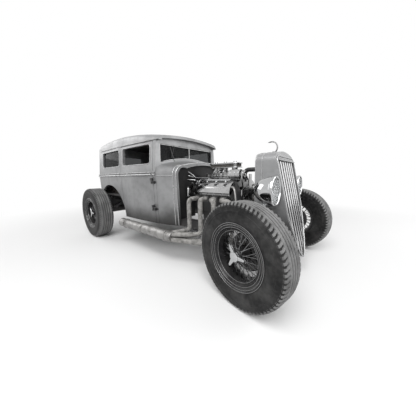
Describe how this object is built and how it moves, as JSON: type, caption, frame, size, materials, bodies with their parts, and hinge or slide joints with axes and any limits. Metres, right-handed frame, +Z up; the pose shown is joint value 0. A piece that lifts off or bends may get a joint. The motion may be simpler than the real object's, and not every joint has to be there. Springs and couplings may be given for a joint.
{
  "type": "vintage car",
  "caption": "Chopped two-door saloon hot rod: slab body, raked grille, open V engine, side pipes and wire wheels; the doors open, the wheels roll and the front pair steers.",
  "frame": {"origin": "on the ground half-way between the axles, on the car's middle line", "axes": "+X forward, +Y to the car's left, +Z up"},
  "size_m": [3.4072, 1.7116, 1.5199],
  "materials": {
    "bare_steel": "satin",
    "frame_paint": "satin",
    "glass": "gloss",
    "engine_paint": "satin",
    "cast_iron": "matte",
    "polished_alloy": "polished",
    "cast_alloy": "satin",
    "pipe_wrap": "matte",
    "radiator_core": "matte",
    "chrome": "mirror",
    "lens": "gloss",
    "spring_steel": "satin",
    "seat_leather": "satin",
    "dash_paint": "satin",
    "steering_black": "gloss",
    "tail_red": "gloss",
    "hose_rubber": "matte",
    "tyre": "matte",
    "wheel_black": "gloss",
    "floor_paint": "matte"
  },
  "bodies": {
    "chassis": {"cowl": "bare_steel", "firewall": "frame_paint", "screen_frame": "bare_steel", "quarter_panels": "bare_steel", "rear_panel": "bare_steel", "roof": "bare_steel", "window_glass": "glass", "frame_rails": "frame_paint", "crossmembers": "frame_paint", "floor_pan": "floor_paint", "engine_block": "engine_paint", "cylinder_heads": "cast_iron", "valve_covers": "polished_alloy", "intake_manifold": "cast_alloy", "carburettors": "cast_alloy", "air_cleaner": "chrome", "front_drive": "polished_alloy", "radiator_hose": "hose_rubber", "exhausts": "pipe_wrap", "grille_shell": "bare_steel", "grille_bars": "chrome", "radiator": "radiator_core", "headlamps": "chrome", "headlamp_lenses": "lens", "mascot": "chrome", "leaf_springs": "spring_steel", "front_axle": "frame_paint", "radius_rods": "spring_steel", "rear_axle": "frame_paint", "front_seats": "seat_leather", "rear_seat": "seat_leather", "dashboard": "dash_paint", "steering_column": "steering_black", "tail_lamps": "tail_red"},
    "door_right": {"door_right": "bare_steel"},
    "door_left": {"door_left": "bare_steel"},
    "steer_right": {"knuckle_right": "frame_paint"},
    "steer_left": {"knuckle_left": "frame_paint"},
    "tie_rod": {"tie_rod": "spring_steel"},
    "road_wheel_front_right": {"tyre_front_right": "tyre", "wheel_front_right": "wheel_black"},
    "road_wheel_front_left": {"tyre_front_left": "tyre", "wheel_front_left": "wheel_black"},
    "road_wheel_rear_right": {"tyre_rear_right": "tyre", "wheel_rear_right": "wheel_black"},
    "road_wheel_rear_left": {"tyre_rear_left": "tyre", "wheel_rear_left": "wheel_black"}
  },
  "joints": [
    {"name": "steer_right", "type": "hinge", "parent": "chassis", "child": "steer_right", "pos_m": [1.30724, -0.57, 0.375], "axis": [0, 0, 1], "range_deg": [-16, 40]},
    {"name": "steer_left", "type": "hinge", "parent": "chassis", "child": "steer_left", "pos_m": [1.30724, 0.57, 0.375], "axis": [0, 0, 1], "range_deg": [-16, 40]},
    {"name": "tie_rod_swing", "type": "hinge", "parent": "steer_right", "child": "tie_rod", "pos_m": [1.16052, -0.53881, 0.262], "axis": [0, 0, 1], "range_deg": [-40, 16]},
    {"name": "spin_front_right", "type": "hinge", "parent": "steer_right", "child": "road_wheel_front_right", "pos_m": [1.27896, -0.70303, 0.375], "axis": [0.2079, 0.9781, 0], "continuous": true},
    {"name": "spin_front_left", "type": "hinge", "parent": "steer_left", "child": "road_wheel_front_left", "pos_m": [1.33552, 0.70303, 0.375], "axis": [0.2079, 0.9781, 0], "continuous": true},
    {"name": "spin_rear_right", "type": "hinge", "parent": "chassis", "child": "road_wheel_rear_right", "pos_m": [-1.31276, -0.72, 0.38], "axis": [0, 1, 0], "continuous": true},
    {"name": "spin_rear_left", "type": "hinge", "parent": "chassis", "child": "road_wheel_rear_left", "pos_m": [-1.31276, 0.72, 0.38], "axis": [0, 1, 0], "continuous": true},
    {"name": "open_door_right", "type": "hinge", "parent": "chassis", "child": "door_right", "pos_m": [0.05374, -0.58692, 0.6], "axis": [0, 0, 1], "range_deg": [0, 65]},
    {"name": "open_door_left", "type": "hinge", "parent": "chassis", "child": "door_left", "pos_m": [0.05374, 0.58692, 0.6], "axis": [0, 0, -1], "range_deg": [0, 65]}
  ],
  "couplings": [
    {"joint": "steer_left", "follows": "steer_right", "ratio": 1},
    {"joint": "tie_rod_swing", "follows": "steer_right", "ratio": -1}
  ]
}
